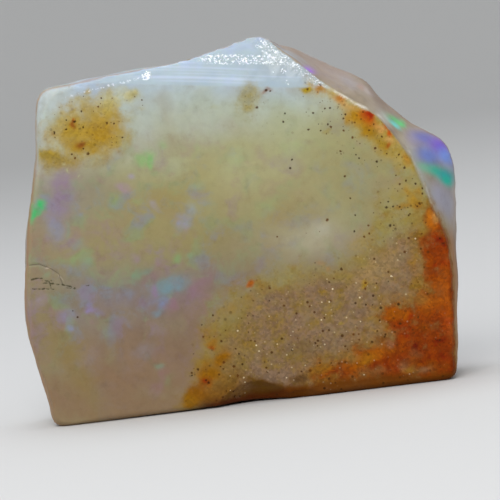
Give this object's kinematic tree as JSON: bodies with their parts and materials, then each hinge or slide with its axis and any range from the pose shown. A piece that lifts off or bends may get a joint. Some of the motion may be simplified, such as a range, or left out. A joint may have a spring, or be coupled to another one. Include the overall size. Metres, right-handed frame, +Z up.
{
  "type": "rough opal",
  "caption": "Rough chunk of milky precious opal with play of colour: one flat sandy, iron-stained face, a sawn band along the top and a glassy bevel. Stands on its flat sawn base.",
  "frame": {"origin": "middle of the stone's footprint box, at the surface it stands on", "axes": "+Z up; the large flat face looks along -Y; +X to the right of someone looking at that face"},
  "size_m": [0.0338, 0.0124, 0.0274],
  "materials": {
    "milky_opal": "milky translucent opal with soft play of colour, waxy to glassy, under a thin sandy skin with ochre and rust iron stains"
  },
  "bodies": {
    "root": {"opal": "milky_opal"}
  },
  "joints": []
}
